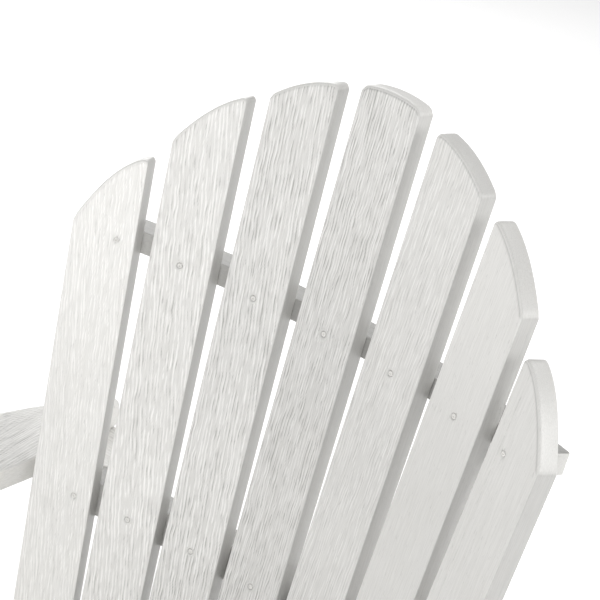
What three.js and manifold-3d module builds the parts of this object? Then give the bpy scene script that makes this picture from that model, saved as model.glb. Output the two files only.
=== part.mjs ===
// Fan-backed adirondack chair, built from flat boards of moulded lumber.
// Millimetres, +Z up, the sitter faces -Y. The origin is on the floor, at the centre of the chair's box.
import * as THREE from 'three';
import { mergeVertices } from 'three/addons/utils/BufferGeometryUtils.js';
import Module from 'manifold-3d';

const wasm = await Module();
wasm.setup();

// ---------------------------------------------------------------- driving dimensions
const DEG = Math.PI / 180;
const GAP = 0.3; // clearance kept between pieces that touch

// boards
const SLAT_WIDTH = 63;
const SLAT_THICKNESS = 21.5;
const FRAME_THICKNESS = 25; // arms, legs, seat sides

// back: seven slats on a gently curved fan, measured along the middle slat from the middle rail
const BACK_HEIGHT = 528; // height above the floor of the fan's reference point, at the middle rail
const BACK_RECLINE = 18 * DEG;
const FAN_RADIUS = 605; // radius of the slats' front faces at the reference point
const FAN_SPREAD = 0.2; // growth of that radius per millimetre up the back
const FAN_STEP = 6.92 * DEG; // turn from one slat to the next
const SLATS_EACH_SIDE = 3;
const BACK_BOTTOM = -375;
const INNER_CORNER = 7; // rounding of a slat's top corner nearer the chair's middle
const OUTER_CORNER = 4;
// top of a slat, by its place from the middle: height, outward fall of the cut, and its crown
const SLAT_TOPS = [
  { height: 491, fall: 0, crown: 0.0044 },
  { height: 468, fall: 0.48, crown: 0.006 },
  { height: 414, fall: 0.92, crown: 0.0081 },
  { height: 325, fall: 1.15, crown: 0.0136 },
];

// rails behind the back: place up the back, height and depth of the board, and where its screws go in
const RAIL_END = 21.1 * DEG;
const UPPER_RAIL = { bottom: 252.5, height: 21.5, depth: 36, screws: 265 };
const MIDDLE_RAIL = { bottom: -23.5, height: 36, depth: 38, screws: 0 };
const LOWER_RAIL = { bottom: -363, height: 36, depth: 58, screws: -345 };
const OUTER_SCREW_INSET = 13.5; // the outer slats' screws sit in from their middle, near the rail's end

// seat
const SEAT_SLOPE = 17 * DEG;
const SEAT_FRONT = { y: -590, z: 358 }; // upper front corner of the seat sides
const SIDE_DEPTH = 120;
const SIDE_OUTER = 254;
const SIDE_REAR = 235;
const SIDE_REAR_RADIUS = 45;
const SEAT_SLATS = 6;
const SEAT_SLAT_WIDTH = 70;
const SEAT_SLAT_GAP = 9;
const SEAT_OVERHANG = 12;
const APRON_HEIGHT = 90;
const APRON_DROP = 2; // the apron's top edge lies this much below the seat sides' corner
const STRETCHER = { y: 95, z: 35, height: 90 };

// front legs and arms
const LEG_WIDTH = 90;
const LEG_FRONT = -600;
const ARM_TOP = 558;
const ARM_FRONT = -640;
const ARM_REAR = 90;
// arm plan on the right, as [x, y]: its inner edge from the rear, then its outer edge from the front
const ARM_INNER = { rear: [254, -30], waist: [276, -170], hand: [252, -420], corner: 35 };
const ARM_OUTER = { hand: [398, -330], taper: [300, 45], corner: [60, 70] };
const ARM_TAIL = { inner: 255, outer: 272, corner: 12 };
// how far along each stretch of the arm's curved edges their control points lie, 0 to 1
const ARM_EASE = {
  rear: 0.2,
  intoWaist: 0.6,
  outOfWaist: 0.36,
  intoHand: 0.6,
  outOfHand: 0.37,
  intoTaper: [0.33, 0.74],
  outOfTaper: [0.36, 0.45],
};
const ARM_REAR_SCREW = { x: 276, y: 50 };
const BRACKET = { reach: 85, drop: 130, inset: 12 };
// cleats under the arms: inner part cut back to clear the middle rail, outer part reaching further forward
const CLEAT = { inner: 205, notch: 245, outer: 292, front: 30, nose: 17, rear: 78, height: 25, screw: 226 };

// fasteners: head radius, head depth, shank radius, length
const BACK_SCREW = { head: 3.2, headDepth: 2.5, shank: 2, length: 38 };
const ARM_SCREW = { head: 4.5, headDepth: 3, shank: 2.4, length: 48 };
const CLEAT_SCREW = { head: 4.5, headDepth: 3, shank: 2.4, length: 75 };
const LEG_BOLT = { head: 9, headDepth: 4, shank: 4, length: 50 };
const LEG_BOLT_DROPS = { upper: 45, lower: 105 }; // below the seat's front corner
const HOLE_OVERRUN = 2; // how far a hole's tool stands out of the face that it cuts
const ROUND_STEPS = 10; // sides of a round fastener
const CURVE_STEPS = 10; // lines along a slat's crowned top

// ---------------------------------------------------------------- materials
const lumber = { color: 0xebebe7, roughness: 0.55, metalness: 0 };
const capped = { color: 0xe4e4df, roughness: 0.5, metalness: 0.05 };
const steel = { color: 0xb9bbbc, roughness: 0.35, metalness: 0.9 };

const chair = new THREE.Group();

function add(name, geometry, finish) {
  const mesh = new THREE.Mesh(geometry, new THREE.MeshStandardMaterial(finish));
  mesh.name = name;
  chair.add(mesh);
  return mesh;
}

// ---------------------------------------------------------------- solids
function toSolid(geometry) {
  const bare = geometry.clone();
  bare.deleteAttribute('normal');
  bare.deleteAttribute('uv');
  const merged = mergeVertices(bare, 1e-4);
  return new wasm.Manifold(
    new wasm.Mesh({
      numProp: 3,
      vertProperties: new Float32Array(merged.attributes.position.array),
      triVerts: new Uint32Array(merged.index.array),
    }),
  );
}

function toGeometry(solid) {
  const mesh = solid.getMesh();
  const geometry = new THREE.BufferGeometry();
  geometry.setAttribute('position', new THREE.BufferAttribute(new Float32Array(mesh.vertProperties), 3));
  geometry.setIndex(new THREE.BufferAttribute(new Uint32Array(mesh.triVerts), 1));
  geometry.computeVertexNormals();
  return geometry;
}

function cut(geometry, tools) {
  let solid = toSolid(geometry);
  for (const tool of tools) {
    solid = solid.subtract(toSolid(tool));
  }
  return toGeometry(solid);
}

// Matrix with local x, y, z along the given directions and the local origin at the given point.
function basis(x, y, z, origin) {
  return new THREE.Matrix4().makeBasis(x, y, z).setPosition(origin);
}

// Outline in local x, y, extruded along local z from `from` to `to`.
function board(outline, from, to, curveSegments = 12) {
  const depth = to - from;
  const geometry = new THREE.ExtrudeGeometry(outline, { depth, bevelEnabled: false, curveSegments });
  return geometry.translate(0, 0, from);
}

function block(low, high) {
  const size = high.clone().sub(low);
  const middle = low.clone().add(high).multiplyScalar(0.5);
  return new THREE.BoxGeometry(size.x, size.y, size.z).translate(middle.x, middle.y, middle.z);
}

function polygon(points) {
  return new THREE.Shape(points.map(([x, y]) => new THREE.Vector2(x, y)));
}

// Outline in y, z, made into a board between two x places.
function sideBoard(outline, x0, x1) {
  const toSide = basis(
    new THREE.Vector3(0, 1, 0),
    new THREE.Vector3(0, 0, 1),
    new THREE.Vector3(1, 0, 0),
    new THREE.Vector3(0, 0, 0),
  );
  return board(outline, Math.min(x0, x1), Math.max(x0, x1)).applyMatrix4(toSide);
}

// A headed fastener along `inward`, its head's top at `point`; `slack` makes the hole that it fits.
function fastener(size, point, inward, slack = 0) {
  const top = slack > 0 ? HOLE_OVERRUN : 0;
  const head = size.head + slack;
  const shank = size.shank + slack;
  const profile = [
    new THREE.Vector2(0, -top),
    new THREE.Vector2(head, -top),
    new THREE.Vector2(head, size.headDepth + slack),
    new THREE.Vector2(shank, size.headDepth + slack),
    new THREE.Vector2(shank, size.length + slack),
    new THREE.Vector2(0, size.length + slack),
  ];
  const geometry = new THREE.LatheGeometry(profile, ROUND_STEPS);
  const turn = new THREE.Quaternion().setFromUnitVectors(new THREE.Vector3(0, 1, 0), inward);
  return geometry.applyQuaternion(turn).translate(point.x, point.y, point.z);
}

// ---------------------------------------------------------------- the back's fan
const across = new THREE.Vector3(1, 0, 0);
const up = new THREE.Vector3(0, Math.sin(BACK_RECLINE), Math.cos(BACK_RECLINE));
const behind = new THREE.Vector3(0, Math.cos(BACK_RECLINE), -Math.sin(BACK_RECLINE));
const backOrigin = new THREE.Vector3(0, 0, BACK_HEIGHT);

function fanRadius(height) {
  return FAN_RADIUS + FAN_SPREAD * height;
}

// Point on the fan's front faces, at an angle from the middle and a height up the back.
function fanPoint(angle, height) {
  const radius = fanRadius(height);
  return backOrigin
    .clone()
    .addScaledVector(across, radius * Math.sin(angle))
    .addScaledVector(behind, -radius * (1 - Math.cos(angle)))
    .addScaledVector(up, height);
}

// Directions of one slat: along it, across its face, and through it to the rear.
function slatFrame(place) {
  const angle = place * FAN_STEP;
  const origin = fanPoint(angle, 0);
  const along = fanPoint(angle, SLAT_TOPS[0].height).sub(origin).normalize();
  const width = across.clone().multiplyScalar(Math.cos(angle)).addScaledVector(behind, -Math.sin(angle));
  width.addScaledVector(along, -width.dot(along)).normalize();
  const rear = new THREE.Vector3().crossVectors(along, width);
  return { origin, along, width, rear };
}

function slatTop(place, w) {
  const { height, fall, crown } = SLAT_TOPS[Math.abs(place)];
  const outward = w * Math.sign(place);
  return height - fall * outward - crown * w * w;
}

// Slat outline: square foot, crowned top with rounded corners.
function slatOutline(place) {
  const half = SLAT_WIDTH / 2;
  const cornerAt = (side) => (side * place > 0 ? OUTER_CORNER : INNER_CORNER);
  const shape = new THREE.Shape();
  shape.moveTo(-half, BACK_BOTTOM);
  shape.lineTo(half, BACK_BOTTOM);
  shape.lineTo(half, slatTop(place, half) - cornerAt(1));
  const first = half - cornerAt(1);
  const last = cornerAt(-1) - half;
  shape.quadraticCurveTo(half, slatTop(place, half), first, slatTop(place, first));
  for (let i = 1; i <= CURVE_STEPS; i += 1) {
    const w = first + ((last - first) * i) / CURVE_STEPS;
    shape.lineTo(w, slatTop(place, w));
  }
  shape.quadraticCurveTo(-half, slatTop(place, -half), -half, slatTop(place, -half) - cornerAt(-1));
  return shape;
}

function screwPoint(place, height) {
  const frame = slatFrame(place);
  const outermost = Math.abs(place) === SLATS_EACH_SIDE && height > LOWER_RAIL.screws;
  const inset = outermost ? -Math.sign(place) * OUTER_SCREW_INSET : 0;
  return frame.origin.addScaledVector(frame.along, height).addScaledVector(frame.width, inset);
}

// Head of the screw that goes forward through an arm's cleat into the middle rail.
const forward = new THREE.Vector3(0, -1, 0);
const armUnder = ARM_TOP - FRAME_THICKNESS;

function cleatScrewPoint(side) {
  return new THREE.Vector3(side * CLEAT.screw, CLEAT.rear, armUnder - GAP - CLEAT.height / 2);
}

const rails = { lower: LOWER_RAIL, middle: MIDDLE_RAIL, upper: UPPER_RAIL };
const places = Array.from({ length: 2 * SLATS_EACH_SIDE + 1 }, (_, i) => i - SLATS_EACH_SIDE);

for (const place of places) {
  const frame = slatFrame(place);
  const holes = Object.values(rails).map((rail) =>
    fastener(BACK_SCREW, screwPoint(place, rail.screws), frame.rear, GAP),
  );
  const slat = board(slatOutline(place), -SLAT_THICKNESS, 0);
  slat.applyMatrix4(basis(frame.width, frame.along, frame.rear.clone().negate(), frame.origin));
  add(`back_slat_${place + SLATS_EACH_SIDE + 1}`, cut(slat, holes), lumber);
}

// Rail outline across the back: one flat facet in front for each slat, and a rear edge.
function railOutline(rail, curvedRear) {
  const radius = fanRadius(rail.bottom + rail.height / 2);
  const facet = (radius + SLAT_THICKNESS + 2 * GAP) / Math.cos(FAN_STEP / 2);
  const corner = (angle, reach) => [reach * Math.sin(angle), reach * Math.cos(angle) - radius];
  const seams = places.slice(0, -1).map((place) => (place + 0.5) * FAN_STEP);
  const angles = [-RAIL_END, ...seams, RAIL_END];
  const front = angles.map((angle) => corner(angle, facet));
  if (curvedRear) {
    const rear = angles.map((angle) => corner(angle, radius + SLAT_THICKNESS + rail.depth));
    return polygon([...front, ...rear.reverse()]);
  }
  const end = SIDE_OUTER - FRAME_THICKNESS - GAP;
  const step = front[0][1];
  return polygon([[-end, step], ...front, [end, step], [end, rail.depth], [-end, rail.depth]]);
}

for (const [level, rail] of Object.entries(rails)) {
  const geometry = board(railOutline(rail, level !== 'lower'), rail.bottom, rail.bottom + rail.height);
  geometry.applyMatrix4(basis(across, behind, up, backOrigin));
  const holes = places.map((place) =>
    fastener(BACK_SCREW, screwPoint(place, rail.screws), slatFrame(place).rear, GAP),
  );
  if (level === 'middle') {
    holes.push(...[-1, 1].map((side) => fastener(CLEAT_SCREW, cleatScrewPoint(side), forward, GAP)));
  }
  add(`${level}_back_rail`, cut(geometry, holes), lumber);
  for (const place of places) {
    const screw = fastener(BACK_SCREW, screwPoint(place, rail.screws), slatFrame(place).rear);
    add(`${level}_back_screw_${place + SLATS_EACH_SIDE + 1}`, screw, capped);
  }
}

// ---------------------------------------------------------------- seat
const downSeat = new THREE.Vector3(0, Math.cos(SEAT_SLOPE), -Math.sin(SEAT_SLOPE));
const offSeat = new THREE.Vector3(0, Math.sin(SEAT_SLOPE), Math.cos(SEAT_SLOPE));
const seatFront = new THREE.Vector3(0, SEAT_FRONT.y, SEAT_FRONT.z);

for (let i = 0; i < SEAT_SLATS; i += 1) {
  const start = i * (SEAT_SLAT_WIDTH + SEAT_SLAT_GAP) - SEAT_OVERHANG;
  const half = SIDE_OUTER - GAP;
  const slat = block(
    new THREE.Vector3(-half, start, GAP),
    new THREE.Vector3(half, start + SEAT_SLAT_WIDTH, GAP + SLAT_THICKNESS),
  );
  slat.applyMatrix4(basis(across, downSeat, offSeat, seatFront));
  add(`seat_slat_${i + 1}`, slat, lumber);
}

// Seat side: a board that slopes from the seat's front edge down to the floor behind the chair.
function sideOutline() {
  const fall = Math.tan(SEAT_SLOPE);
  const frontBottom = SEAT_FRONT.z - SIDE_DEPTH / Math.cos(SEAT_SLOPE);
  const rearTop = SEAT_FRONT.z - (SIDE_REAR - SEAT_FRONT.y) * fall;
  const shape = new THREE.Shape();
  shape.moveTo(SEAT_FRONT.y, frontBottom);
  shape.lineTo(SEAT_FRONT.y + frontBottom / fall, 0);
  shape.lineTo(SIDE_REAR, 0);
  shape.lineTo(SIDE_REAR, rearTop - SIDE_REAR_RADIUS);
  const shoulder = SIDE_REAR - SIDE_REAR_RADIUS;
  shape.quadraticCurveTo(SIDE_REAR, rearTop, shoulder, rearTop + SIDE_REAR_RADIUS * fall);
  shape.lineTo(SEAT_FRONT.y, SEAT_FRONT.z);
  return shape;
}

// ---------------------------------------------------------------- arm pieces
// Arm plan: narrow beside the back, broad and rounded over the front leg.
function armOutline(side) {
  const { rear, waist, hand: innerHand } = ARM_INNER;
  const { hand: outerHand, taper } = ARM_OUTER;
  const [sweep, ease] = ARM_OUTER.corner;
  const shape = new THREE.Shape();
  const at = ([x, y]) => [side * x, y];
  const between = (a, b, t) => a + (b - a) * t;
  const tail = [ARM_TAIL.inner, ARM_REAR - ARM_TAIL.corner];
  shape.moveTo(...at(tail));
  shape.lineTo(...at(rear));
  const outOf = [between(rear[0], waist[0], ARM_EASE.rear), between(rear[1], waist[1], ARM_EASE.rear)];
  const intoWaist = [waist[0], between(rear[1], waist[1], ARM_EASE.intoWaist)];
  shape.bezierCurveTo(...at(outOf), ...at(intoWaist), ...at(waist));
  const outOfWaist = [waist[0], between(waist[1], innerHand[1], ARM_EASE.outOfWaist)];
  const intoHand = [innerHand[0], between(waist[1], innerHand[1], ARM_EASE.intoHand)];
  shape.bezierCurveTo(...at(outOfWaist), ...at(intoHand), ...at(innerHand));
  shape.lineTo(...at([innerHand[0], ARM_FRONT + ARM_INNER.corner]));
  const innerCorner = [innerHand[0] + ARM_INNER.corner, ARM_FRONT];
  shape.quadraticCurveTo(...at([innerHand[0], ARM_FRONT]), ...at(innerCorner));
  shape.lineTo(...at([outerHand[0] - sweep, ARM_FRONT]));
  shape.quadraticCurveTo(...at([outerHand[0], ARM_FRONT]), ...at([outerHand[0], ARM_FRONT + ease]));
  shape.lineTo(...at(outerHand));
  const outOfHand = [outerHand[0], between(outerHand[1], taper[1], ARM_EASE.outOfHand)];
  const [easeX, easeY] = ARM_EASE.intoTaper;
  const intoTaper = [between(outerHand[0], taper[0], easeX), between(outerHand[1], taper[1], easeY)];
  shape.bezierCurveTo(...at(outOfHand), ...at(intoTaper), ...at(taper));
  const [leaveX, leaveY] = ARM_EASE.outOfTaper;
  const outOfTaper = [between(taper[0], ARM_TAIL.outer, leaveX), between(taper[1], ARM_REAR, leaveY)];
  const intoTail = [ARM_TAIL.outer + ARM_TAIL.corner, ARM_REAR];
  shape.bezierCurveTo(...at(outOfTaper), ...at(intoTail), ...at([ARM_TAIL.outer, ARM_REAR]));
  shape.lineTo(...at([ARM_TAIL.inner + ARM_TAIL.corner, ARM_REAR]));
  shape.quadraticCurveTo(...at([ARM_TAIL.inner, ARM_REAR]), ...at(tail));
  return shape;
}

// Bracket under the arm: a gusset on the leg's outer face with a hollow-curved lower edge.
function bracketOutline(side) {
  const root = SIDE_OUTER + GAP + FRAME_THICKNESS + GAP;
  const top = ARM_TOP - FRAME_THICKNESS - GAP;
  const shape = new THREE.Shape();
  const at = (x, z) => [side * x, z];
  shape.moveTo(...at(root, top));
  shape.lineTo(...at(root, top - BRACKET.drop));
  shape.lineTo(...at(root + BRACKET.inset, top - BRACKET.drop));
  const middle = [root + BRACKET.inset * 2, top - BRACKET.inset * 3];
  shape.quadraticCurveTo(...at(...middle), ...at(root + BRACKET.reach, top - BRACKET.inset));
  shape.lineTo(...at(root + BRACKET.reach, top));
  return shape;
}

// Cleat that joins the arm's rear end to the back of the middle rail.
function cleatOutline(side) {
  const points = [
    [CLEAT.inner, CLEAT.front],
    [CLEAT.notch, CLEAT.nose],
    [CLEAT.outer, CLEAT.nose],
    [CLEAT.outer, CLEAT.rear],
    [CLEAT.inner, CLEAT.rear],
  ];
  return polygon(points.map(([x, y]) => [side * x, y]));
}

// ---------------------------------------------------------------- pieces made for each side
const legMiddle = LEG_FRONT + LEG_WIDTH / 2;
const down = new THREE.Vector3(0, 0, -1);

for (const [hand, side] of [['left', -1], ['right', 1]]) {
  const inward = new THREE.Vector3(-side, 0, 0);
  const legInner = SIDE_OUTER + GAP;
  const legOuter = legInner + FRAME_THICKNESS;
  const boltPoints = Object.entries(LEG_BOLT_DROPS).map(([level, drop]) => [
    level,
    new THREE.Vector3(side * legOuter, legMiddle, SEAT_FRONT.z - drop),
  ]);
  const boltHoles = boltPoints.map(([, point]) => fastener(LEG_BOLT, point, inward, GAP));

  const seatSide = sideBoard(sideOutline(), side * SIDE_OUTER, side * (SIDE_OUTER - FRAME_THICKNESS));
  add(`seat_side_${hand}`, cut(seatSide, boltHoles), lumber);

  const legTop = armUnder - GAP;
  const leg = block(
    new THREE.Vector3(Math.min(side * legInner, side * legOuter), LEG_FRONT, 0),
    new THREE.Vector3(Math.max(side * legInner, side * legOuter), LEG_FRONT + LEG_WIDTH, legTop),
  );
  const armScrews = {
    front: new THREE.Vector3((side * (legInner + legOuter)) / 2, legMiddle, ARM_TOP),
    rear: new THREE.Vector3(side * ARM_REAR_SCREW.x, ARM_REAR_SCREW.y, ARM_TOP),
  };
  const frontHole = fastener(ARM_SCREW, armScrews.front, down, GAP);
  const rearHole = fastener(ARM_SCREW, armScrews.rear, down, GAP);
  add(`front_leg_${hand}`, cut(leg, [...boltHoles, frontHole]), lumber);

  add(`arm_${hand}`, cut(board(armOutline(side), armUnder, ARM_TOP), [frontHole, rearHole]), lumber);

  const bracket = board(bracketOutline(side), -FRAME_THICKNESS / 2, FRAME_THICKNESS / 2);
  const upright = basis(across, new THREE.Vector3(0, 0, 1), forward, new THREE.Vector3());
  bracket.applyMatrix4(upright).translate(0, legMiddle, 0);
  add(`arm_bracket_${hand}`, bracket, lumber);

  const cleatScrew = cleatScrewPoint(side);
  const cleatHole = fastener(CLEAT_SCREW, cleatScrew, forward, GAP);
  const cleat = board(cleatOutline(side), armUnder - GAP - CLEAT.height, armUnder - GAP);
  add(`arm_cleat_${hand}`, cut(cleat, [rearHole, cleatHole]), lumber);

  boltPoints.forEach(([level, point]) => {
    add(`leg_bolt_${hand}_${level}`, fastener(LEG_BOLT, point, inward), steel);
  });
  Object.entries(armScrews).forEach(([end, point]) => {
    add(`arm_screw_${hand}_${end}`, fastener(ARM_SCREW, point, down), capped);
  });
  add(`cleat_screw_${hand}`, fastener(CLEAT_SCREW, cleatScrew, forward), capped);
}

// ---------------------------------------------------------------- boards between the sides
const between = SIDE_OUTER - FRAME_THICKNESS - GAP;
const apronTop = SEAT_FRONT.z - APRON_DROP;
const apronRear = SEAT_FRONT.y - GAP;
const apron = block(
  new THREE.Vector3(GAP - SIDE_OUTER, apronRear - SLAT_THICKNESS, apronTop - APRON_HEIGHT),
  new THREE.Vector3(SIDE_OUTER - GAP, apronRear, apronTop),
);
add('front_apron', apron, lumber);
const stretcher = block(
  new THREE.Vector3(-between, STRETCHER.y, STRETCHER.z),
  new THREE.Vector3(between, STRETCHER.y + FRAME_THICKNESS, STRETCHER.z + STRETCHER.height),
);
add('rear_stretcher', stretcher, lumber);

// Stand the chair with the centre of its box over the origin.
const extent = new THREE.Box3().setFromObject(chair);
chair.position.y = -(extent.min.y + extent.max.y) / 2;

export default chair;
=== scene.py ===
"""The looks of a fan-backed adirondack chair of moulded lumber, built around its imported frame.

Every board is read from its CAD node: outline, thickness and direction. It is then meshed again with
rounded edges, embossed wood grain and sunken screw holes. Lengths are in metres.
"""
import math

import bpy
import numpy as np
from mathutils import Matrix, Vector


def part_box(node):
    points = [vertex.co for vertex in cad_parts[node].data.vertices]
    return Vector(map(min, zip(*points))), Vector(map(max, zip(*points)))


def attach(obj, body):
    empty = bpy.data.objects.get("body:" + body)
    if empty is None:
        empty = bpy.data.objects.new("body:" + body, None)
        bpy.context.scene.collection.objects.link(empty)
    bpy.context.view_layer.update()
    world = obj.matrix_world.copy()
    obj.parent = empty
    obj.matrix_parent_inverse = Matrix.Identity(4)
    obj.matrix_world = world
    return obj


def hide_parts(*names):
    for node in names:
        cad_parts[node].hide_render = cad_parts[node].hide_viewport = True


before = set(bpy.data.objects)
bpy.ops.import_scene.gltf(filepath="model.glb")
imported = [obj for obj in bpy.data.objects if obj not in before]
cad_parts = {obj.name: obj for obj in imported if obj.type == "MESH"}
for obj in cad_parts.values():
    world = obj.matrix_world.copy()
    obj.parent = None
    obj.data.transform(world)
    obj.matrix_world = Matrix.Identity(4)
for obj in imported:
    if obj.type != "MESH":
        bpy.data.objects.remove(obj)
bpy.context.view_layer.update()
MM = 0.001

# ------------------------------------------------------------------ driving values
SLAT_COUNT = 7
SEAT_SLAT_COUNT = 6
# each side's direction along X
HANDS = {"left": -1, "right": 1}
LEVELS = ("upper", "middle", "lower")
UP = (0, 0, 1)
RIGHT = (1, 0, 0)
FRONT = (0, -1, 0)
BACK = (0, 1, 0)
FRONT_AND_UP = (0, -1, 0.3)
UP_AND_BACK = (0, 0.3, 1)

EDGE_RADIUS = 1.4 * MM
CUT_RADIUS = 3.0 * MM
ARM_EDGE_RADIUS = 2.2 * MM
CORNER_FILLET = 3.0 * MM
SEAM_WIDTH = 0.8 * MM
SEAM_DEPTH = 0.3 * MM
# how far down from a board's top end its painted highlight reaches
TIP_LENGTH = 320 * MM
HEAD_GAP = 0.3 * MM
HEAD_SUNK = 0.25 * MM
PIT_DEPTH = 1.3 * MM
SEAT_SCREW_SPREAD = 19 * MM
SEAT_SCREW_HEAD = 3.7 * MM
SEAT_SCREW_LENGTH = 45 * MM
# the painted shade in the groove round a cut end and on a pit's floor: how light they are beside the rest
# of the board
SEAM_SHADE = 0.72
PIT_SHADE = 0.72

# a board's looks unless its kind or the board itself says otherwise: the radius of its edges along the
# grain and at its cut ends, how deeply its grain is embossed and how strongly its crests and grooves are
# painted lighter and darker, how deep its grooves are and how much painted shade they get, how far its
# grain leans from its length and how far apart its lines are, the painted light and shade on its faces,
# sides and cut ends, how much painted highlight its faces get toward the tip, and how strongly a groove
# with painted shade in it shows round its cut ends
PLAIN_LOOKS = {
    "radius": EDGE_RADIUS,
    "cut_radius": EDGE_RADIUS,
    "emboss_and_painted_light": 1.0,
    "shade": 1.0,
    "lean": 0.0,
    "spacing": 3.6 * MM,
    # painted light and shade: faces as they are, sides and cut ends a little darker, and no painted
    # highlight toward the tip
    "painted_light": 1.0,
    "side_painted_light": 0.85,
    "cut_painted_light": 0.93,
    "tip": 0.0,
    "seam_and_shade": 0.0,
}
KIND_LOOKS = {
    "back_slat": {"cut_radius": CUT_RADIUS},
    # painted shade: the back rails are darkened all over, faces and sides, for the slats' shadow on them
    "back_rail": {"emboss_and_painted_light": 0.8, "painted_light": 0.50, "side_painted_light": 0.60},
    "arm": {
        "radius": ARM_EDGE_RADIUS,
        "cut_radius": ARM_EDGE_RADIUS,
        "spacing": 3.0 * MM,
        # painted light: the arm's sides are lighter than its faces, and its faces a little darker
        "painted_light": 0.95,
        "side_painted_light": 1.10,
    },
    "arm_bracket": {"emboss_and_painted_light": 0.9},
    "arm_cleat": {"emboss_and_painted_light": 0.8},
}
# the same looks where they differ from one back slat to the next, from -X to +X
SLAT_LOOKS = {
    # how deep each slat's grain is embossed and how strongly its crests and grooves get painted highlight
    # and painted shade
    "emboss_and_painted_light": (0.8, 1.0, 1.0, 1.0, 0.75, 0.3, 0.25),
    "shade": (0.5, 0.7, 0.95, 1.1, 0.9, 0.5, 0.4),
    "lean": [math.radians(angle) for angle in (6, 7, 5, 0.5, 0, 0, 0)],
    "spacing": [width * MM for width in (3.1, 3.8, 3.6, 2.8, 3.0, 3.4, 3.4)],
    # painted light and shade on each slat's faces, sides and cut ends, by how far the slat is turned
    "painted_light": (1.10, 1.05, 0.97, 0.87, 0.90, 0.90, 0.91),
    "side_painted_light": (0.85, 0.80, 0.80, 0.80, 0.75, 0.75, 0.70),
    "cut_painted_light": (0.95, 0.95, 1.0, 1.0, 0.85, 0.90, 0.95),
    # painted highlight toward each slat's top end
    "tip": (0.12, 0.05, 0.04, 0.12, 0.12, 0.12, 0.05),
    # how strongly each slat's groove round its cut ends shows, with painted shade in it
    "seam_and_shade": (0.25, 0.25, 0.5, 1.0, 1.0, 1.0, 1.0),
}
# how far apart a board's mesh points are, across and along it
PITCHES = {
    "back_slat": (0.56 * MM, 3.2 * MM),
    "back_rail": (0.8 * MM, 6 * MM),
    "seat_slat": (0.7 * MM, 6 * MM),
    "arm": (0.75 * MM, 5 * MM),
    "front_leg": (1.0 * MM, 8 * MM),
    "seat_side": (1.2 * MM, 8 * MM),
    "arm_bracket": (1.0 * MM, 4 * MM),
    "arm_cleat": (0.8 * MM, 4 * MM),
    "cross_board": (1.0 * MM, 8 * MM),
}
# the boards' grain seeds start here, with one for each board in the group
FIRST_SEED = {"back_slat": 0, "back_rail": 20, "seat_slat": 30, "left": 50, "right": 60, "cross_board": 70}


# ------------------------------------------------------------------ materials
class Nodes:
    """A material's node tree, with short calls to add and join nodes."""

    def __init__(self, name):
        self.material = bpy.data.materials.new(name)
        self.material.use_nodes = True
        self.tree = self.material.node_tree
        self.shader = self.tree.nodes["Principled BSDF"]

    def add(self, kind, **values):
        node = self.tree.nodes.new(kind)
        for name, value in values.items():
            setattr(node, name, value)
        return node

    def join(self, source, target):
        self.tree.links.new(source, target)

    def attribute(self, name):
        return self.add("ShaderNodeAttribute", attribute_name=name)

    def math(self, operation, first, second):
        node = self.add("ShaderNodeMath", operation=operation)
        for socket, value in zip(node.inputs, (first, second)):
            if isinstance(value, (int, float)):
                socket.default_value = value
            else:
                self.join(value, socket)
        return node.outputs[0]

    def noise(self, vector, stretch, detail=2.0, roughness=0.5):
        """Noise with one feature per `stretch` of length in each direction."""
        scaled = self.add("ShaderNodeVectorMath", operation="MULTIPLY")
        self.join(vector, scaled.inputs[0])
        scaled.inputs[1].default_value = [1 / length for length in stretch]
        noise = self.add("ShaderNodeTexNoise")
        noise.inputs["Scale"].default_value = 1.0
        noise.inputs["Detail"].default_value = detail
        noise.inputs["Roughness"].default_value = roughness
        self.join(scaled.outputs[0], noise.inputs["Vector"])
        return noise.outputs["Fac"]

    def remap(self, value, low, high, to_low=0.0, to_high=1.0):
        """Turns low to high into to_low to to_high, smoothly, with no overshoot."""
        node = self.add("ShaderNodeMapRange", interpolation_type="SMOOTHSTEP")
        self.join(value, node.inputs["Value"])
        for name, number in zip(("From Min", "From Max", "To Min", "To Max"), (low, high, to_low, to_high)):
            node.inputs[name].default_value = number
        return node.outputs["Result"]

    def blend(self, factor, first, second):
        """Mixes two colours, each a tuple or a socket: the first at factor 0, the second at 1."""
        node = self.add("ShaderNodeMix", data_type="RGBA")
        self.join(factor, node.inputs["Factor"])
        for name, value in (("A", first), ("B", second)):
            socket = next(s for s in node.inputs if s.name == name and s.type == "RGBA")
            if isinstance(value, tuple):
                socket.default_value = (*value, 1.0)
            else:
                self.join(value, socket)
        return next(s for s in node.outputs if s.type == "RGBA")

    def scale(self, colour, factor):
        node = self.add("ShaderNodeVectorMath", operation="SCALE")
        self.join(colour, node.inputs[0])
        self.join(factor, node.inputs["Scale"])
        return node.outputs[0]

    def bump(self, height, distance, strength=1.0):
        node = self.add("ShaderNodeBump")
        node.inputs["Distance"].default_value = distance
        node.inputs["Strength"].default_value = strength
        self.join(height, node.inputs["Height"])
        self.join(node.outputs["Normal"], self.shader.inputs["Normal"])


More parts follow.
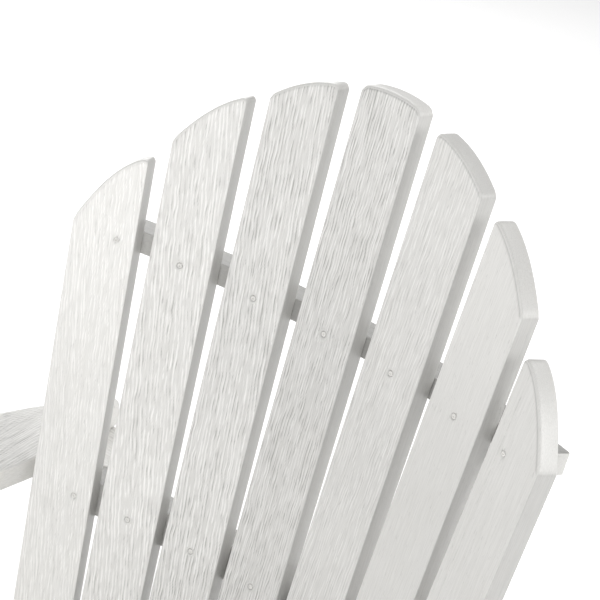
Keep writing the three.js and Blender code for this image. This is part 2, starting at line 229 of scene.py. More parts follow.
def lumber_material():
    """Off-white moulded lumber, streaked along its grain, with painted highlight on crests, painted shade
    in grooves and pitted sides.
    """
    made = Nodes("moulded_lumber")
    place = made.attribute("board").outputs["Vector"]
    relief = made.attribute("grain").outputs["Fac"]
    face = made.attribute("face").outputs["Fac"]
    painted_light = made.attribute("painted_light").outputs["Fac"]
    streaks = made.noise(place, (0.9 * MM, 38 * MM, 0.9 * MM), detail=3.0, roughness=0.6)
    fibres = made.remap(streaks, 0.36, 0.66)
    pores = made.remap(made.noise(place, (0.8 * MM, 9 * MM, 0.8 * MM)), 0.26, 0.36)
    pitting = made.noise(place, (1.6 * MM, 2.2 * MM, 1.6 * MM), detail=4.0, roughness=0.7)
    clouds = made.noise(place, (45 * MM, 120 * MM, 45 * MM), detail=3.0)

    # crest is a painted highlight and groove a painted shade on the embossed grain's relief; groove also
    # colours the pores
    groove = (0.400, 0.394, 0.378)
    plain = (0.690, 0.682, 0.658)
    crest = (0.930, 0.922, 0.902)
    weathered = (0.690, 0.683, 0.661)
    faded = made.blend(made.remap(clouds, 0.35, 0.65), plain, weathered)
    streaked = made.math("MULTIPLY", fibres, made.remap(face, 0.0, 1.0, 0.24, 0.3))
    # the fine streaks are lightened toward the painted highlight
    lit = made.blend(streaked, faded, crest)
    # painted highlight where the relief rises and painted shade where it sinks, on the faces
    crest_highlight = made.math("MULTIPLY", made.remap(relief, 0.42, 0.95), 0.95)
    groove_shade = made.math("MULTIPLY", made.remap(relief, 0.0, 0.38, 0.9, 0.0), face)
    grooved = made.blend(groove_shade, made.blend(crest_highlight, lit, crest), groove)
    dotted = made.math("MULTIPLY", made.math("SUBTRACT", 1.0, pores), 0.4)
    body = made.blend(dotted, grooved, groove)
    # the whole colour is scaled by the painted light and shade that each point carries
    made.join(made.scale(body, painted_light), made.shader.inputs["Base Color"])

    least_rough = 0.32
    dullness = made.remap(made.math("ADD", fibres, clouds), 0.3, 1.6, 0.24, 0.12)
    rougher = made.math("MULTIPLY", dullness, face)
    made.join(made.math("ADD", rougher, least_rough), made.shader.inputs["Roughness"])
    face_bumps = made.math("MULTIPLY", made.math("ADD", fibres, pores), face)
    side_bumps = made.math("MULTIPLY", pitting, made.math("SUBTRACT", 1.15, face))
    made.bump(made.math("ADD", face_bumps, side_bumps), 0.12 * MM, 0.8)
    return made.material


def capped_material():
    """Screw heads painted to match the lumber, with small scuffs."""
    made = Nodes("capped_screw")
    place = made.add("ShaderNodeTexCoord").outputs["Object"]
    scuffs = made.noise(place, (0.8 * MM,) * 3, detail=4.0)
    paint = (0.80, 0.79, 0.76)
    scuffed = (0.66, 0.65, 0.63)
    made.join(made.blend(made.remap(scuffs, 0.5, 0.7), paint, scuffed), made.shader.inputs["Base Color"])
    made.join(made.remap(scuffs, 0.3, 0.7, 0.38, 0.6), made.shader.inputs["Roughness"])
    made.bump(scuffs, 0.05 * MM, 0.5)
    return made.material


def steel_material():
    """Stainless bolts, finely brushed along their length, with dull patches."""
    made = Nodes("brushed_bolt")
    place = made.add("ShaderNodeTexCoord").outputs["Object"]
    brushing = made.noise(place, (8 * MM, 0.25 * MM, 0.25 * MM), detail=3.0)
    patches = made.noise(place, (3 * MM,) * 3, detail=3.0)
    bright = (0.62, 0.63, 0.64)
    dull = (0.45, 0.45, 0.45)
    made.join(made.blend(made.remap(patches, 0.4, 0.7), bright, dull), made.shader.inputs["Base Color"])
    made.shader.inputs["Metallic"].default_value = 1.0
    made.join(made.remap(brushing, 0.3, 0.7, 0.25, 0.45), made.shader.inputs["Roughness"])
    made.bump(brushing, 0.03 * MM, 0.6)
    return made.material


LUMBER = lumber_material()
CAPPED = capped_material()
STEEL = steel_material()


# ------------------------------------------------------------------ noise and grain
LATTICE = 512


def value_noise(u, v, seed):
    """Smooth noise from 0 to 1 on a unit lattice, the same on every run."""
    table = np.random.default_rng(seed).random((LATTICE, LATTICE))
    i = np.floor(u).astype(int)
    j = np.floor(v).astype(int)
    a = u - i
    b = v - j
    a = a * a * (3 - 2 * a)
    b = b * b * (3 - 2 * b)

    def corner(di, dj):
        return table[(i + di) % LATTICE, (j + dj) % LATTICE]

    near = corner(0, 0) * (1 - a) + corner(1, 0) * a
    far = corner(0, 1) * (1 - a) + corner(1, 1) * a
    return near * (1 - b) + far * b


def smooth_step(value, low, high):
    """0 up to `low`, 1 from `high` on and a smooth rise in between."""
    t = np.clip((value - low) / (high - low), 0, 1)
    return t * t * (3 - 2 * t)


GRAIN_DEPTH = 0.35 * MM
FLAT_RELIEF = 0.4
# the sways of the grain lines: how wide, how far across and along the board each takes, and its seed
GRAIN_SWAYS = (
    (5.0 * MM, 70 * MM, 150 * MM, 0),
    (1.6 * MM, 14 * MM, 30 * MM, 1),
    (1.5 * MM, 6 * MM, 11 * MM, 7),
)
# a line's drift, narrowest width and extra width, as shares of the spacing
LINE_DRIFT = 0.5
LINE_WIDTH = 0.115
LINE_SPREAD = 0.06
# how far a groove lies from its line and how wide it is, in line widths
GROOVE_OFFSET = 2.1
GROOVE_WIDTH = 1.15
# the noise values between which crests and grooves come up from nothing
CREST_FADE = (0.05, 0.5)
GROOVE_FADE = (0.2, 0.7)
# the most that crests, grooves and fine hairs add to the relief or take from it
CREST_HEIGHT = 0.6
GROOVE_DEPTH = 0.4
HAIR_HEIGHT = 0.3
HAIRS_PER_LINE = 3.1
# the length along the board in which each of these changes
DRIFT_RUN = 45 * MM
CREST_RUN = 12 * MM
WIDTH_RUN = 20 * MM
GROOVE_RUN = 11 * MM
HAIR_RUN = 7 * MM


def grain_relief(spots, seed, looks):
    """Embossed wood grain: 0 in a groove, FLAT_RELIEF on the flat between lines and 1 on a crest."""
    across = spots[:, 0]
    along = spots[:, 1]
    sway = 0.0
    for swing, across_run, along_run, more in GRAIN_SWAYS:
        sway = sway + swing * value_noise(across / across_run, along / along_run, seed + more)
    u = (across * math.cos(looks["lean"]) + along * math.sin(looks["lean"]) + sway) / looks["spacing"]
    line = np.floor(u)
    drift = LINE_DRIFT * (value_noise(line, along / DRIFT_RUN, seed + 2) - 0.5)
    beside = u - line - 0.5 + drift
    strength = smooth_step(value_noise(line, along / CREST_RUN, seed + 3), *CREST_FADE)
    width = LINE_WIDTH + LINE_SPREAD * value_noise(line, along / WIDTH_RUN, seed + 4)
    crest = strength * np.exp(-((beside / width) ** 2))
    dark = smooth_step(value_noise(line + 0.5, along / GROOVE_RUN, seed + 5), *GROOVE_FADE)
    from_groove = (beside - GROOVE_OFFSET * width) / (GROOVE_WIDTH * width)
    groove = looks["shade"] * dark * np.exp(-(from_groove ** 2))
    hairs = value_noise(u * HAIRS_PER_LINE, along / HAIR_RUN, seed + 6) - 0.5
    return np.clip(FLAT_RELIEF + CREST_HEIGHT * crest - GROOVE_DEPTH * groove + HAIR_HEIGHT * hairs, 0, 1)


# ------------------------------------------------------------------ reading a board from its CAD node
# corners match to this many digits, faces are parallel above this cosine, and the main face is what lies
# this close to the board's top
DIGITS = 7
PARALLEL = 0.9999
FLAT_WITHIN = 0.05 * MM
# stands in for a length or an area of zero, so that nothing is divided by it
TINY = 1e-15
# a direction that no main face looks in, and the side to which a board's length points
SKEWED = (0.36, 0.48, 0.8)
USUAL_LENGTH = (1.0, -0.4, 2.0)


def node_triangles(node):
    """The corners of a CAD node's triangles."""
    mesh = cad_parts[node].data
    mesh.calc_loop_triangles()
    points = np.array([v.co for v in mesh.vertices], float)
    corners = np.array([t.vertices for t in mesh.loop_triangles], int)
    return points[corners]


def outer_loop(triangles, axes):
    """The longest closed loop of edges that only one of these triangles has, as 2-D points."""
    flat = np.round(triangles @ np.array(axes).T, DIGITS)
    uses = {}
    for corners in flat:
        keys = [tuple(c) for c in corners]
        for a, b in zip(keys, keys[1:] + keys[:1]):
            if (b, a) in uses:
                del uses[(b, a)]
            else:
                uses[(a, b)] = True
    following = {}
    for a, b in uses:
        following.setdefault(a, []).append(b)
    loops = []
    while following:
        start = next(iter(following))
        loop = [start]
        while loop[-1] in following:
            after = following[loop[-1]].pop()
            if not following[loop[-1]]:
                del following[loop[-1]]
            if after == start:
                break
            loop.append(after)
        loops.append(np.array(loop))

    def length(loop):
        return np.linalg.norm(loop - np.roll(loop, 1, axis=0), axis=1).sum()

    return max(loops, key=length)


def read_board(node, face, along=None):
    """A flat board's outline on its main face, thickness and directions.

    `face` says roughly which way the main face looks. `along` is the way its grain runs, and by default
    the way of its longest straight edge.
    """
    triangles = node_triangles(node)
    crosses = np.cross(triangles[:, 1] - triangles[:, 0], triangles[:, 2] - triangles[:, 0])
    areas = np.linalg.norm(crosses, axis=1)
    normals = crosses / np.maximum(areas, TINY)[:, None]
    alike = normals @ normals.T
    most = np.argmax((np.abs(alike) > PARALLEL) @ areas)
    same = alike[most] * (np.abs(alike[most]) > PARALLEL)
    normal = (crosses * np.sign(same)[:, None]).sum(axis=0)
    normal /= np.linalg.norm(normal)
    if normal @ np.array(face) < 0:
        normal = -normal
    heights = triangles @ normal
    top = heights.max()
    main = triangles[heights.min(axis=1) > top - FLAT_WITHIN]
    if along is None:
        helper = np.cross(normal, SKEWED)
        helper /= np.linalg.norm(helper)
        rough = outer_loop(main, (helper, np.cross(normal, helper)))
        edges = np.roll(rough, -1, axis=0) - rough
        longest = edges[np.argmax(np.linalg.norm(edges, axis=1))]
        along = longest[0] * helper + longest[1] * np.cross(normal, helper)
    along = np.array(along, float)
    along -= normal * (along @ normal)
    along /= np.linalg.norm(along)
    if along @ np.array(USUAL_LENGTH) < 0:
        along = -along
    across = np.cross(along, normal)
    outline = outer_loop(main, (across, along))
    return {
        "across": across,
        "along": along,
        "normal": normal,
        "top": top,
        "thickness": top - heights.min(),
        "outline": outline,
    }


# ------------------------------------------------------------------ meshing a board
SHARP_TURN = math.radians(30)
FILLET_POINTS = 7
# the most of an edge that a fillet at one of its ends takes
FILLET_SHARE = 0.45
# where points lie near an edge, in edge radii in from it
EDGE_STEPS = np.array([0, 0.05, 0.16, 0.35, 0.62, 0.85, 1.0, 1.12, 1.3, 1.6])
FEWEST_POINTS = 3
# just inside the outline, where a row at its very end is measured
JUST_INSIDE = 0.0001 * MM
# points lie this close together in a pit and this far round it
PIT_STEP = 0.8 * MM
PIT_SURROUND = 2.4 * MM
# points this near a pit's rim are moved onto it, and it lies this deep, inside a lip this wide and high
RIM_REACH = 0.45 * MM
RIM_DEPTH = 0.06 * MM
LIP_WIDTH = 1.6 * MM
LIP_HEIGHT = 0.12 * MM
# where an edge slants, its rounding is at most this much wider along the row, and a row that is
# narrower than this many roundings has them squeezed
MOST_STRETCH = 2.6
ROOMY = 2.2
# an edge turns from a side to a cut end between these shares of its length across the board
CUT_SLANT = (0.1, 0.4)
# where the painted light and shade change from the side's to the face's and where the grain starts, in
# edge radii in from the edge, and how far the grain then takes to reach its full depth
TONE_CHANGE = (0.1, 0.5)
GRAIN_START = 0.7
GRAIN_MARGIN = 0.8 * MM
# boards' textures are moved apart by up to this much
TEXTURE_SHIFT = 3.0
# a board's noise seeds: where its main face's start, how much later its back's do and the next board's
MAIN_SEED = 7
BACK_SEED = 10
SEED_STEP = 100


def fillet(outline, radius):
    """Rounds the outline's sharp corners."""
    count = len(outline)
    made = []
    for k in range(count):
        here = outline[k]
        back = outline[k - 1] - here
        ahead = outline[(k + 1) % count] - here
        back_length = np.linalg.norm(back)
        ahead_length = np.linalg.norm(ahead)
        cosine = np.clip(-(back @ ahead) / (back_length * ahead_length), -1, 1)
        turn = math.acos(cosine)
        if turn < SHARP_TURN:
            made.append(here)
            continue
        reach = min(radius * math.tan(turn / 2), FILLET_SHARE * back_length, FILLET_SHARE * ahead_length)
        start = here + back / back_length * reach
        end = here + ahead / ahead_length * reach
        for t in np.linspace(0, 1, FILLET_POINTS):
            made.append((1 - t) ** 2 * start + 2 * t * (1 - t) * here + t * t * end)
    return np.array(made)


def span_at(outline, place):
    """Lowest and highest second coordinate of the outline where its first one is `place`."""
    ends = np.roll(outline, -1, axis=0)
    hits = []
    for (a0, a1), (b0, b1) in zip(outline, ends):
        if min(a0, b0) <= place <= max(a0, b0) and a0 != b0:
            hits.append(a1 + (b1 - a1) * (place - a0) / (b0 - a0))
    return min(hits), max(hits)


def samples(low, high, edge, pitch, focus=()):
    """Places from low to high: close together near both ends and near each focus, else a pitch apart."""
    rim = EDGE_STEPS * edge
    inner = np.linspace(low + rim[-1], high - rim[-1], max(FEWEST_POINTS, round((high - low) / pitch)))
    places = [low + rim[:-1], inner, high - rim[:-1]]
    for middle, half, step in focus:
        inner = places[1]
        inner = inner[(inner < middle - half) | (inner > middle + half)]
        places[1] = np.concatenate([inner, np.arange(middle - half, middle + half, step)])
    return np.unique(np.concatenate(places))


def rounded_drop(inset, radius):
    """How far a rounded edge's surface lies below the face, at a distance in from the outline."""
    return radius - np.sqrt(np.maximum(radius ** 2 - (radius - np.minimum(inset, radius)) ** 2, 0))


def outline_distance(outline, points):
    """Each point's distance to the outline, and how far the nearest edge runs across the first axis."""
    best = np.full(len(points), np.inf)
    slant = np.zeros(len(points))
    for a, b in zip(outline, np.roll(outline, -1, axis=0)):
        edge = b - a
        t = np.clip((points - a) @ edge / max(edge @ edge, TINY), 0, 1)
        distance = np.linalg.norm(points - a - t[:, None] * edge, axis=1)
        nearer = distance < best
        best[nearer] = distance[nearer]
        slant[nearer] = abs(edge[1]) / max(np.linalg.norm(edge), TINY)
    return best, slant


def sunken(points, pits):
    """Moves points near each pit's rim onto it, and says how deep each point lies."""
    depth = np.zeros(len(points))
    for middle, radius in pits:
        offset = points - middle
        reach = np.linalg.norm(offset, axis=1)
        rim = np.abs(reach - radius) < RIM_REACH
        points[rim] = middle + offset[rim] / reach[rim, None] * radius
        depth[(reach < radius) & ~rim] = PIT_DEPTH
        depth[rim] = RIM_DEPTH
        lip = (reach > radius) & (reach < radius + LIP_WIDTH) & ~rim
        depth[lip] = -LIP_HEIGHT
    return depth


def board_grid(outline, first, pitch, radii, pits):
    """Rows of points on a board's face, each from one edge to the other.

    The rows are spaced on axis `first`, which is 0 across the board and 1 along it, and that is the first
    coordinate of the outline and of the points. `pitch` and `radii` have one value for each axis.
    """
    second = 1 - first

    def focus(axis):
        return [(middle[axis], rim + PIT_SURROUND, PIT_STEP) for middle, rim in pits]

    low = outline[:, 0].min()
    high = outline[:, 0].max()
    lines = samples(low, high, radii[first], pitch[first], focus(first))
    inside = np.clip(lines, low + JUST_INSIDE, high - JUST_INSIDE)
    spans = np.array([span_at(outline, place) for place in inside])
    middle_low = np.median(spans[:, 0])
    middle_high = np.median(spans[:, 1])
    pattern = samples(middle_low, middle_high, radii[second], pitch[second], focus(second))
    # distance in from the nearer edge near both ends, and the same share of the way in between
    rim = EDGE_STEPS[-1] * radii[second]
    share = np.clip((pattern - middle_low - rim) / (middle_high - middle_low - 2 * rim), 0, 1)
    in_low = np.minimum(pattern - middle_low, rim)
    in_high = np.minimum(middle_high - pattern, rim)
    room = (spans[:, 1] - spans[:, 0])[:, None]
    steep = np.gradient(spans, lines, axis=0)
    stretch = np.clip(np.sqrt(1 + steep ** 2), 1, MOST_STRETCH)
    squeeze = np.minimum(1, room / (ROOMY * rim * stretch.max(axis=1)[:, None]))
    from_low = spans[:, :1] + in_low * stretch[:, :1] * squeeze
    from_high = spans[:, 1:] - in_high * stretch[:, 1:] * squeeze
    rim_low = spans[:, :1] + rim * stretch[:, :1] * squeeze
    rim_high = spans[:, 1:] - rim * stretch[:, 1:] * squeeze
    between = rim_low + (rim_high - rim_low) * share
    cross = np.where(share <= 0, from_low, np.where(share >= 1, from_high, between))
    return np.stack([np.repeat(lines[:, None], cross.shape[1], axis=1), cross], axis=-1)


def board_surface(outline, grid, first, looks):
    """What a board's two faces share at each point of its grid.

    That is its place across and along the board, how far the edge's rounding drops it, how much of the
    face's grain it has (0 to 1) and its painted light and shade.
    """
    flat = grid.reshape(-1, 2)
    plane = flat if first == 0 else flat[:, ::-1]
    inset, slant = outline_distance(outline, flat)
    boundary = np.zeros(grid.shape[:2], bool)
    boundary[[0, -1], :] = True
    boundary[:, [0, -1]] = True
    inset[boundary.ravel()] = 0

    crosswise = slant if first == 1 else np.sqrt(1 - slant ** 2)
    cut = smooth_step(crosswise, *CUT_SLANT)
    reach = looks["radius"] + (looks["cut_radius"] - looks["radius"]) * cut
    # a groove round the cut ends, with painted shade in it
    seam_and_shade = looks["seam_and_shade"] * cut * np.exp(-(((inset - reach) / SEAM_WIDTH) ** 2))
    # painted light and shade turn from the walls' to the face's, in from the edge
    on_face = smooth_step(inset, TONE_CHANGE[0] * reach, TONE_CHANGE[1] * reach)
    # painted highlight: the face gets lighter toward the board's top end
    tip = looks["tip"] * smooth_step(plane[:, 1], plane[:, 1].max() - TIP_LENGTH, plane[:, 1].max())
    face_painted_light = looks["painted_light"] * (1 + tip)
    wall_painted_light = looks["side_painted_light"] + (looks["cut_painted_light"] - looks["side_painted_light"]) * cut
    return {
        "plane": plane,
        "drop": rounded_drop(inset, reach) + SEAM_DEPTH * seam_and_shade,
        "face": smooth_step(inset, GRAIN_START * reach, GRAIN_START * reach + GRAIN_MARGIN),
        "painted_light": (wall_painted_light + (face_painted_light - wall_painted_light) * on_face) * (1 - (1 - SEAM_SHADE) * seam_and_shade),
    }


def board_sheet(board, surface, back, pits, seed, looks):
    """A board's main face, or its back: the points' places, and the values that its material reads."""
    spots = surface["plane"].copy()
    sink = np.zeros(len(spots)) if back else sunken(spots, pits)
    relief = grain_relief(spots, SEED_STEP * seed + BACK_SEED * back + MAIN_SEED, looks)
    clear = surface["face"] * (sink == 0)
    offset = (relief - 1) * clear * GRAIN_DEPTH * looks["emboss_and_painted_light"] - surface["drop"] - sink
    level = board["top"] - board["thickness"] - offset if back else board["top"] + offset
    in_plane = spots[:, :1] * board["across"] + spots[:, 1:] * board["along"]
    # painted shade on the floor of each screw pit
    pitted = np.where(sink > PIT_DEPTH / 2, PIT_SHADE, 1.0)
    return {
        "places": in_plane + level[:, None] * board["normal"],
        "board": np.column_stack([spots, level]),
        # the relief that the material paints lighter on crests and darker in grooves
        "grain": FLAT_RELIEF + (relief - FLAT_RELIEF) * clear * looks["emboss_and_painted_light"],
        "face": surface["face"] * looks["emboss_and_painted_light"],
        "painted_light": surface["painted_light"] * pitted,
    }


def closed_faces(rows, columns):
    """Quads for a grid, for the same grid turned over behind it, and for the walls between the two."""
    index = np.arange(rows * columns).reshape(rows, columns)
    corners = (index[:-1, :-1], index[1:, :-1], index[1:, 1:], index[:-1, 1:])
    quads = np.stack(corners, axis=-1).reshape(-1, 4)
    loop = np.concatenate([index[:-1, 0], index[-1, :-1], index[:0:-1, -1], index[0, :0:-1]])
    ahead = np.roll(loop, -1)
    under = rows * columns
    walls = np.stack([loop, loop + under, ahead + under, ahead], axis=-1)
    return np.concatenate([quads, quads[:, ::-1] + under, walls])


def put_attribute(mesh, name, kind, values):
    """Stores values on the mesh's points, for a material to read."""
    field = "vector" if kind == "FLOAT_VECTOR" else "value"
    mesh.attributes.new(name, kind, "POINT").data.foreach_set(field, np.asarray(values, np.float32).ravel())


def finish_piece(name, mesh, material, slot, *nodes):
    """The object of a finished mesh, which rides on the chair and replaces its CAD nodes."""
    mesh.update()
    mesh.polygons.foreach_set("use_smooth", [True] * len(mesh.polygons))
    mesh.materials.append(material)
    piece = bpy.data.objects.new(name, mesh)
    bpy.context.scene.collection.objects.link(piece)
    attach(piece, "root")
    if nodes:
        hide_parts(*nodes)
    return piece


def board_piece(kind, node, board, seed, rows="along", pits=(), **looks):
    """The finished board that stands for a CAD node: rounded edges, grain relief and screw pits.

    `rows` says whether its rows of points follow each other along or across it. `looks` holds what is
    this board's own, past PLAIN_LOOKS and its kind's looks.
    """
    looks = {**PLAIN_LOOKS, **KIND_LOOKS.get(kind, {}), **looks}
    first = 1 if rows == "along" else 0
    outline = fillet(board["outline"], CORNER_FILLET)[:, [first, 1 - first]]
    grid = board_grid(outline, first, PITCHES[kind], (looks["radius"], looks["cut_radius"]), pits)
    surface = board_surface(outline, grid, first, looks)
    sheets = [board_sheet(board, surface, back, pits, seed, looks) for back in (0, 1)]
    joined = {name: np.concatenate([sheet[name] for sheet in sheets]) for name in sheets[0]}
    faces = closed_faces(*grid.shape[:2])
    # the faces turn the other way round when the rows follow each other along the board
    if first == 1:
        faces = faces[:, ::-1]

    name = node + "_board"
    mesh = bpy.data.meshes.new(name)
    mesh.from_pydata(joined["places"].tolist(), [], faces.tolist())
    shift = np.random.default_rng(seed + 1).random(3) * TEXTURE_SHIFT
    put_attribute(mesh, "board", "FLOAT_VECTOR", joined["board"] + shift)
    for value in ("grain", "face", "painted_light"):
        put_attribute(mesh, value, "FLOAT", joined[value])
    return finish_piece(name, mesh, LUMBER, "lumber", node)


# ------------------------------------------------------------------ round fasteners
SCREW_SEGMENTS = 36
BOLT_SEGMENTS = 40
LOBES = 6
LOBE_DEPTH = 0.16
# a screw's star drive, and the rings that have its lobes, in head radii
DRIVE_RADIUS = 0.30
LOBED_WITHIN = 0.35
# the top of a head is what lies this close to its highest point
HEAD_FLAT_WITHIN = 0.01 * MM


def turned(profile, segments, point, outward, socket=0.0):
    """Vertices and faces of a turned piece; each profile point is (radius, height) along `outward`.

    Rings smaller than `socket` get the lobes of a star drive.
    """
    axis = Vector(outward).normalized()
    turn = axis.to_track_quat("Z", "Y").to_matrix()
    vertices = []
    for radius, height in profile:
        for k in range(segments):
            angle = 2 * math.pi * k / segments
            reach = radius * (1 + LOBE_DEPTH * math.cos(LOBES * angle)) if radius < socket else radius
            spot = Vector((reach * math.cos(angle), reach * math.sin(angle), height))
            vertices.append(Vector(point) + turn @ spot)
    faces = []
    for ring in range(len(profile) - 1):
        for k in range(segments):
            a = ring * segments + k
            b = ring * segments + (k + 1) % segments
            faces.append((a, a + segments, b + segments, b))
    faces.append(tuple(range(segments)))
    last = (len(profile) - 1) * segments
    faces.append(tuple(range(last + segments - 1, last - 1, -1)))
    return vertices, faces


def turned_screw(head, length, point, outward):
    """A screw's vertices and faces, from the floor of its star drive to its tip."""
    drive = DRIVE_RADIUS * head
    profile = [
        (drive * 0.9, -1.1 * MM),
        (drive, -0.15 * MM - HEAD_SUNK),
        (drive * 1.15, -HEAD_SUNK),
        (0.50 * head, -HEAD_SUNK + 0.04 * MM),
        (0.62 * head, -HEAD_SUNK - 0.02 * MM),
        (0.70 * head, -HEAD_SUNK - 0.25 * MM),
        (0.74 * head, -HEAD_SUNK - 0.7 * MM),
        (0.80 * head, -PIT_DEPTH - 0.3 * MM),
        (0.45 * head, -3.0 * MM),
        (0.45 * head, 0.3 * MM - length),
        (0.12 * head, -length),
    ]
    return turned(profile, SCREW_SEGMENTS, point, outward, LOBED_WITHIN * head)


def turned_bolt(head, length, point, outward):
    """A domed bolt's vertices and faces, from the top of its head to its end."""
    profile = [
        (0.02 * head, 0.9 * MM),
        (0.30 * head, 0.85 * MM),
        (0.55 * head, 0.6 * MM),
        (0.78 * head, 0.1 * MM),
        (0.92 * head, -0.6 * MM),
        (0.95 * head, -1.5 * MM),
        (0.44 * head, -1.6 * MM),
        (0.44 * head, -length),
    ]
    return turned(profile, BOLT_SEGMENTS, point, outward)


def head_of(node, outward):
    """The middle of a fastener's head, its radius and its length, from the CAD node."""
    points = np.unique(np.round(node_triangles(node).reshape(-1, 3), DIGITS), axis=0)
    heights = points @ np.array(outward)
    rim = points[heights > heights.max() - HEAD_FLAT_WITHIN]
    middle = rim.mean(axis=0)
    radius = np.linalg.norm(rim - middle, axis=1).max()
    return middle, radius, heights.max() - heights.min()


def pit_for(board, node):
    """A fastener's pit in a board: its middle, across and along the board, and its radius."""
    middle, radius, _ = head_of(node, board["normal"])
    return np.array([middle @ board["across"], middle @ board["along"]]), radius + HEAD_GAP


def fastener_piece(name, solids, material, slot, *nodes):
    """One piece of one or more turned solids."""
    vertices, faces = [], []
    for some_vertices, some_faces in solids:
        start = len(vertices)
        vertices += some_vertices
        faces += [tuple(start + k for k in face) for face in some_faces]
    mesh = bpy.data.meshes.new(name)
    mesh.from_pydata(vertices, [], faces)
    return finish_piece(name, mesh, material, slot, *nodes)


def screw_piece(node, outward):
    """The finished screw that stands for a CAD node."""
    middle, radius, length = head_of(node, outward)
    solid = turned_screw(radius, length, middle, outward)
    fastener_piece(node + "_head", [solid], CAPPED, "capped_screw", node)


def bolt_piece(node, outward):
    """The finished bolt that stands for a CAD node."""
    middle, radius, length = head_of(node, outward)
    solid = turned_bolt(radius, length, middle, outward)
    fastener_piece(node + "_head", [solid], STEEL, "bolt_steel", node)


# ------------------------------------------------------------------ the back
def back_slat(number):
    """A back slat and its three screws."""
    node = f"back_slat_{number}"
    board = read_board(node, FRONT_AND_UP)
    screws = [f"{level}_back_screw_{number}" for level in LEVELS]
    pits = [pit_for(board, screw) for screw in screws]
    looks = {name: values[number - 1] for name, values in SLAT_LOOKS.items()}
    board_piece("back_slat", node, board, FIRST_SEED["back_slat"] + number, "across", pits, **looks)
    for screw in screws:
        screw_piece(screw, board["normal"])


for number in range(1, SLAT_COUNT + 1):
    back_slat(number)
for number, level in enumerate(LEVELS):
    node = f"{level}_back_rail"
    board_piece("back_rail", node, read_board(node, UP_AND_BACK, RIGHT), FIRST_SEED["back_rail"] + number)


# ------------------------------------------------------------------ the seat
def seat_slat(number, side_middle):
    """A seat slat with pits for its four screws; returns the screws' vertices and faces."""
    node = f"seat_slat_{number}"
    board = read_board(node, UP_AND_BACK, RIGHT)
    slat_middle = (board["outline"][:, 0].min() + board["outline"][:, 0].max()) / 2
    pits = []
    screws = []
    for side in HANDS.values():
        for row in (-1, 1):
            spot = np.array([slat_middle + row * SEAT_SCREW_SPREAD, side * side_middle])
            pits.append((spot, SEAT_SCREW_HEAD + HEAD_GAP))
            point = spot[0] * board["across"] + spot[1] * board["along"] + board["top"] * board["normal"]
            screws.append(turned_screw(SEAT_SCREW_HEAD, SEAT_SCREW_LENGTH, point, board["normal"]))
    board_piece("seat_slat", node, board, FIRST_SEED["seat_slat"] + number, pits=pits)
    return screws


seat_screws = []
seat_side_middle = sum((corner.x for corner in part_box("seat_side_right")), 0.0) / 2
for number in range(1, SEAT_SLAT_COUNT + 1):
    seat_screws += seat_slat(number, seat_side_middle)
fastener_piece("seat_screws", seat_screws, CAPPED, "capped_screw")


# ------------------------------------------------------------------ arms, legs and sides
def arm(hand, seed):
    """An arm and its two screws."""
    node = f"arm_{hand}"
    board = read_board(node, UP)
    screws = [f"arm_screw_{hand}_{end}" for end in ("front", "rear")]
    board_piece("arm", node, board, seed, pits=[pit_for(board, screw) for screw in screws])
    for screw in screws:
        screw_piece(screw, board["normal"])


def front_leg(hand, outward, seed):
    """A front leg and its two bolts."""
    node = f"front_leg_{hand}"
    board = read_board(node, outward, UP)
    bolts = [f"leg_bolt_{hand}_{level}" for level in ("upper", "lower")]
    board_piece("front_leg", node, board, seed, pits=[pit_for(board, bolt) for bolt in bolts])
    for bolt in bolts:
        bolt_piece(bolt, board["normal"])


def side_pieces(hand, side):
    """All that one side of the chair has: arm, leg, seat side, bracket and cleat."""
    outward = (side, 0, 0)
    seed = FIRST_SEED[hand]
    arm(hand, seed)
    front_leg(hand, outward, seed + 1)
    node = f"seat_side_{hand}"
    board_piece("seat_side", node, read_board(node, outward), seed + 2)
    node = f"arm_bracket_{hand}"
    board_piece("arm_bracket", node, read_board(node, FRONT, UP), seed + 3, "across")
    node = f"arm_cleat_{hand}"
    board_piece("arm_cleat", node, read_board(node, UP, RIGHT), seed + 4)
    screw_piece(f"cleat_screw_{hand}", BACK)


for hand, side in HANDS.items():
    side_pieces(hand, side)
for number, node in enumerate(("front_apron", "rear_stretcher")):
    board_piece("cross_board", node, read_board(node, FRONT, RIGHT), FIRST_SEED["cross_board"] + number)


# ------------------------------------------------------------------ floor, light and camera
WHITE = (1.0, 1.0, 1.0, 1.0)
FLOOR_REACH = 8.0
FLOOR_CLOUDS = 0.6
FLOOR_GLOW = 0.20
WORLD_STRENGTH = 0.32


def floor_piece():
    """A pale floor that glows a little, so that it stays white round the chair."""
    made = Nodes("pale_floor")
    place = made.add("ShaderNodeTexCoord").outputs["Object"]
    clouds = made.noise(place, (FLOOR_CLOUDS,) * 3, detail=2.0)
    colour = made.blend(made.remap(clouds, 0.3, 0.7), (0.93, 0.93, 0.93), (0.95, 0.95, 0.95))
    made.join(colour, made.shader.inputs["Base Color"])
    made.shader.inputs["Roughness"].default_value = 0.9
    made.shader.inputs["Emission Color"].default_value = WHITE
    made.shader.inputs["Emission Strength"].default_value = FLOOR_GLOW
    mesh = bpy.data.meshes.new("floor")
    corners = [(x * FLOOR_REACH, y * FLOOR_REACH, 0) for x, y in ((-1, -1), (1, -1), (1, 1), (-1, 1))]
    mesh.from_pydata(corners, [], [(0, 1, 2, 3)])
    mesh.materials.append(made.material)
    floor = bpy.data.objects.new("floor", mesh)
    bpy.context.scene.collection.objects.link(floor)


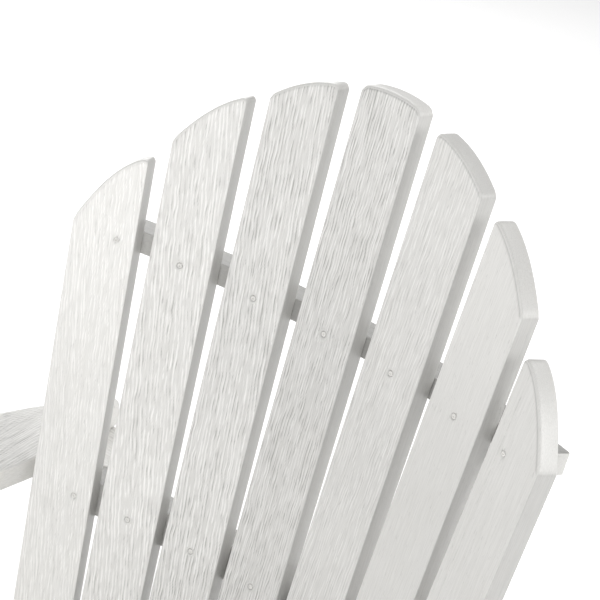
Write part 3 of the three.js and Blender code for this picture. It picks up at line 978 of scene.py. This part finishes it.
# lights round the back: azimuth and elevation seen from it (0 is in front, 90 at +X), width and power
LIGHT_AIM = Vector((0.0, 0.25, 0.75))
LIGHT_DISTANCE = 2.4
SOFTBOXES = {
    "front_low": (20, 8, 1.2, 18.0),
    "front_left": (-20, 30, 1.2, 9.0),
    "front_right": (45, 8, 1.2, 6.0),
    "right": (100, 20, 1.0, 18.0),
    "right_rear": (125, 5, 1.0, 6.0),
    "rear_top": (160, 50, 1.2, 12.0),
    "left_rear": (-140, 35, 1.2, 24.0),
    "left_low": (-60, 5, 1.2, 12.0),
    "left_low_rear": (-130, 5, 1.2, 9.0),
}


def softbox(name, azimuth, elevation, size, power):
    """A square light that faces LIGHT_AIM from LIGHT_DISTANCE away."""
    turn = math.radians(azimuth)
    rise = math.radians(elevation)
    outward = Vector((math.sin(turn) * math.cos(rise), -math.cos(turn) * math.cos(rise), math.sin(rise)))
    data = bpy.data.lights.new(name, "AREA")
    data.shape = "SQUARE"
    data.size = size
    data.energy = power
    light = bpy.data.objects.new(name, data)
    light.location = LIGHT_AIM + outward * LIGHT_DISTANCE
    light.rotation_euler = (-outward).to_track_quat("-Z", "Y").to_euler()
    bpy.context.scene.collection.objects.link(light)


floor_piece()
for name, (azimuth, elevation, size, power) in SOFTBOXES.items():
    softbox(name, azimuth, elevation, size, power)
world = bpy.data.worlds.new("studio")
world.use_nodes = True
background = world.node_tree.nodes["Background"]
background.inputs["Color"].default_value = WHITE
background.inputs["Strength"].default_value = WORLD_STRENGTH
bpy.context.scene.world = world
bpy.context.scene.view_settings.view_transform = "Standard"

SENSOR = 36.0
CAMERA_LENS = 113.27
CAMERA_SHIFT = (-0.0946, 0.2119)
CAMERA_PLACE = (0.8206, -0.7987, 1.7607)
CAMERA_AZIMUTH = math.radians(35.56)
CAMERA_ELEVATION = math.radians(38.53)
CAMERA_ROLL = math.radians(5.663)


def place_camera():
    """The camera looks back along its azimuth and down by its elevation, and is then rolled."""
    level = Vector((math.cos(CAMERA_AZIMUTH), math.sin(CAMERA_AZIMUTH), 0))
    toward = Vector((math.sin(CAMERA_AZIMUTH), -math.cos(CAMERA_AZIMUTH), 0)) * math.cos(CAMERA_ELEVATION)
    toward.z = math.sin(CAMERA_ELEVATION)
    upright = toward.cross(level)
    right = level * math.cos(CAMERA_ROLL) + upright * math.sin(CAMERA_ROLL)
    up = upright * math.cos(CAMERA_ROLL) - level * math.sin(CAMERA_ROLL)
    data = bpy.data.cameras.new("camera")
    data.sensor_width = SENSOR
    data.lens = CAMERA_LENS
    data.shift_x, data.shift_y = CAMERA_SHIFT
    camera = bpy.data.objects.new("camera", data)
    turn = Matrix((right, up, toward)).transposed().to_4x4()
    camera.matrix_world = Matrix.Translation(CAMERA_PLACE) @ turn
    bpy.context.scene.collection.objects.link(camera)
    bpy.context.scene.camera = camera


place_camera()
